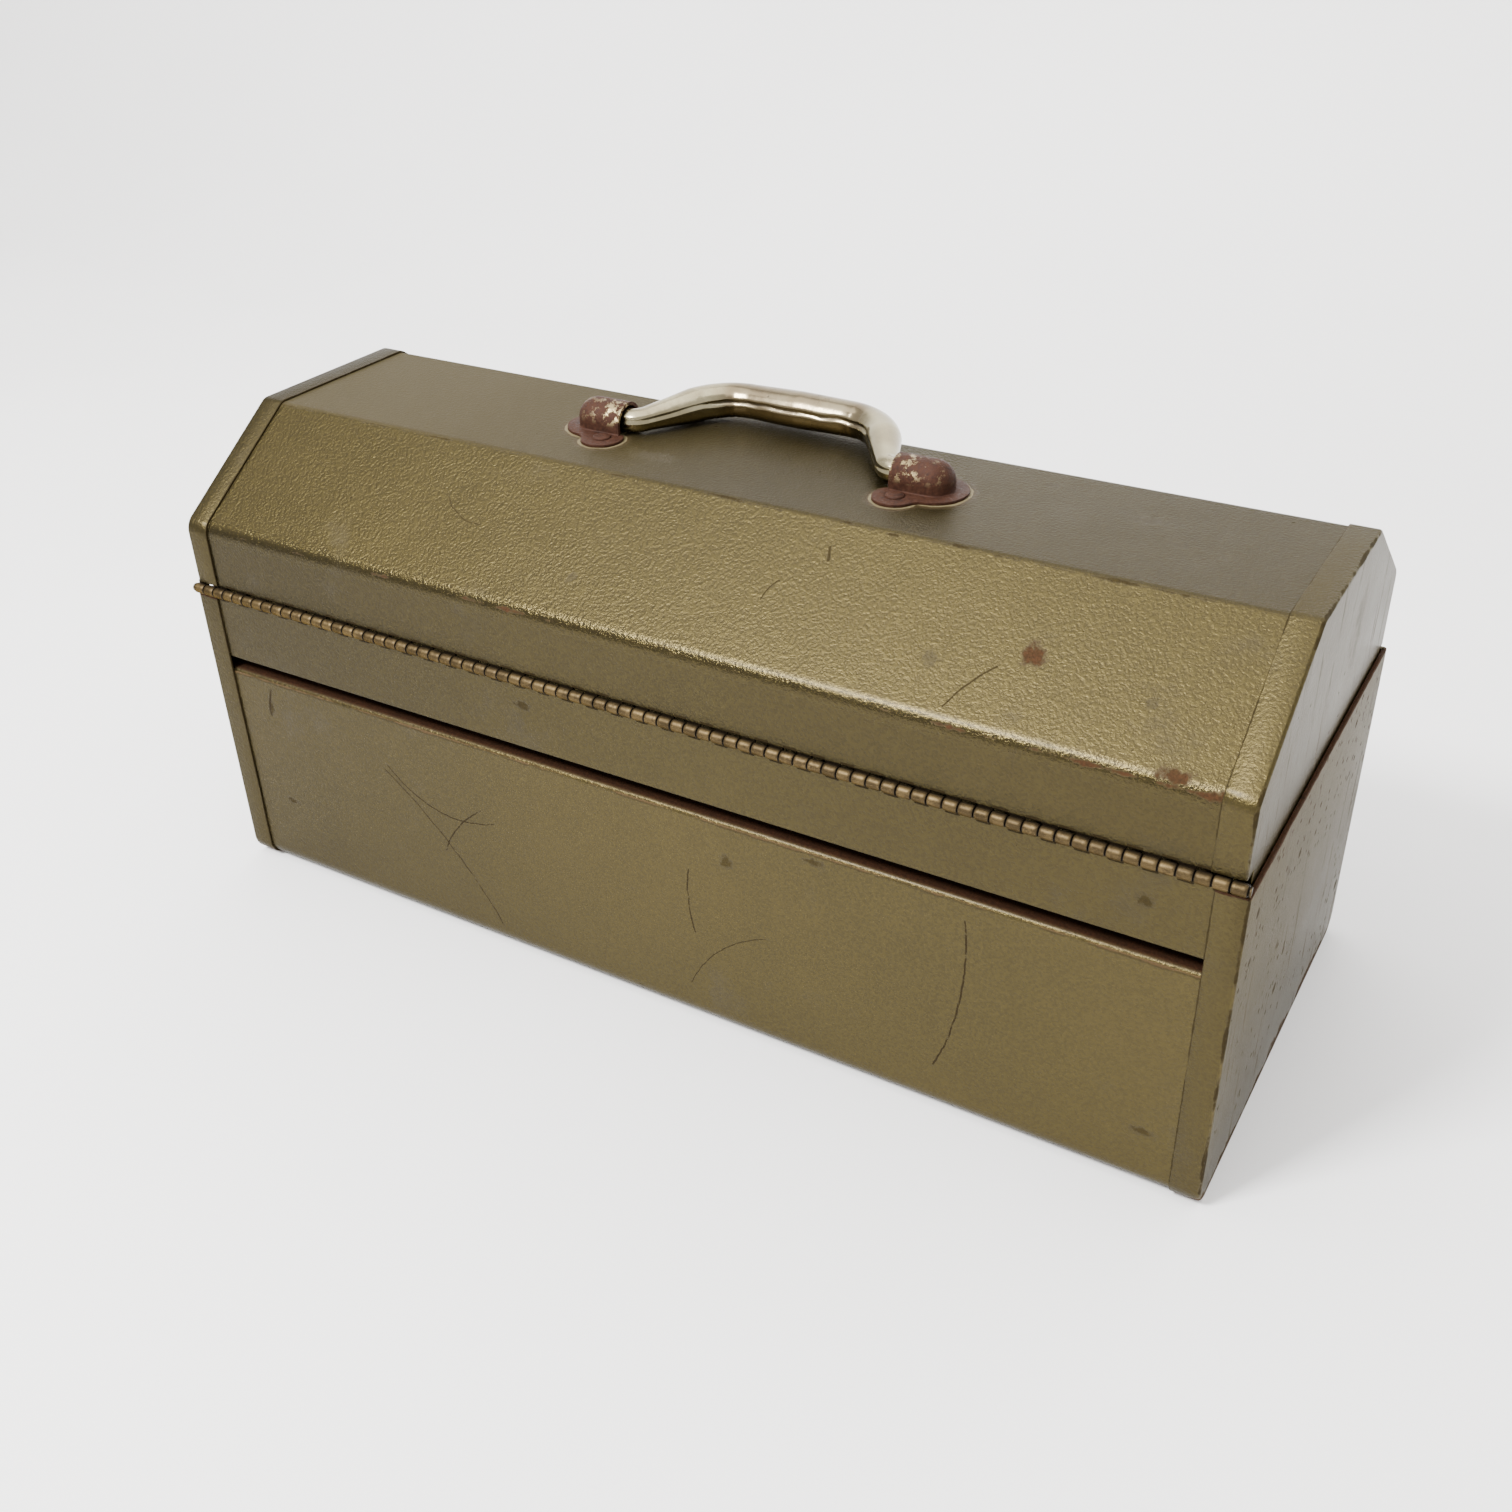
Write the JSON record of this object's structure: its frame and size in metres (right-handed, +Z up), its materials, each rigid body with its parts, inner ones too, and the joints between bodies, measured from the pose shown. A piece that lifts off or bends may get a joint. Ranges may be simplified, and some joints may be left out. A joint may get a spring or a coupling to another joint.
{
  "type": "toolbox with tray",
  "caption": "Hip-roof steel tool box with a piano-hinged lid, a bowed tube handle, two front catches, a padlock hasp and a lift-out tote tray.",
  "frame": {"origin": "middle of the surface the box stands on, midway between its ends and between its flange faces", "axes": "+X along the box towards its right end, +Y towards the hinge at the back, +Z up"},
  "size_m": [0.508, 0.2184, 0.2472],
  "materials": {
    "hammered_enamel": "olive-gold hammered enamel, worn to rust along its folded edges",
    "hinge_steel": "bare steel, tarnished brown",
    "handle_nickel": "dull nickel plate with small pits",
    "rusty_bracket": "pressed steel, plating mostly rusted away",
    "catch_plating": "dull nickel plate with light rust",
    "tray_enamel": "olive-gold hammered enamel, scratched inside",
    "tray_handle_steel": "dull zinc plate"
  },
  "bodies": {
    "box": {"body_wrap": "hammered_enamel", "body_end_left": "hammered_enamel", "body_end_right": "hammered_enamel", "hinge_leaf_body": "hinge_steel", "hinge_pin": "hinge_steel", "catch_base_left": "catch_plating", "catch_base_right": "catch_plating", "catch_base_rivets_left": "catch_plating", "catch_base_rivets_right": "catch_plating", "catch_pin_left": "catch_plating", "catch_pin_right": "catch_plating", "padlock_staple": "catch_plating", "staple_rivets": "catch_plating"},
    "lid": {"lid_wrap": "hammered_enamel", "lid_end_left": "hammered_enamel", "lid_end_right": "hammered_enamel", "hinge_leaf_lid": "hinge_steel", "handle_bracket_left": "rusty_bracket", "handle_bracket_right": "rusty_bracket", "bracket_rivets_left": "rusty_bracket", "bracket_rivets_right": "rusty_bracket", "strike_left": "catch_plating", "strike_right": "catch_plating", "strike_rivets_left": "catch_plating", "strike_rivets_right": "catch_plating", "hasp_tab": "catch_plating", "hasp_tab_rivets": "catch_plating"},
    "handle": {"carry_handle": "handle_nickel"},
    "tray": {"tray_pan": "tray_enamel", "tray_end_left": "tray_enamel", "tray_end_right": "tray_enamel", "tray_divider_left": "tray_enamel", "tray_divider_right": "tray_enamel", "tray_handle": "tray_handle_steel", "tray_handle_rivets_left": "tray_handle_steel", "tray_handle_rivets_right": "tray_handle_steel"},
    "lever_left": {"catch_lever_left": "catch_plating"},
    "lever_right": {"catch_lever_right": "catch_plating"}
  },
  "joints": [
    {"name": "lid_open", "type": "hinge", "parent": "box", "child": "lid", "pos_m": [0, 0.1039, 0.1555], "axis": [-1, 0, 0], "range_deg": [0, 175]},
    {"name": "handle_swing", "type": "hinge", "parent": "lid", "child": "handle", "pos_m": [0, 0, 0.2361], "axis": [-1, 0, 0], "range_deg": [0, 171]},
    {"name": "tray_lift", "type": "slide", "parent": "box", "child": "tray", "axis": [0, 0, 1], "range_m": [0, 0.112]},
    {"name": "catch_left_swing", "type": "hinge", "parent": "box", "child": "lever_left", "pos_m": [-0.15, -0.1064, 0.142], "axis": [-1, 0, 0], "range_deg": [0, 165]},
    {"name": "catch_right_swing", "type": "hinge", "parent": "box", "child": "lever_right", "pos_m": [0.15, -0.1064, 0.142], "axis": [-1, 0, 0], "range_deg": [0, 165]}
  ],
  "couplings": [
    {"joint": "tray_lift", "follows": "lid_open", "m_per_rad": 0.036}
  ]
}
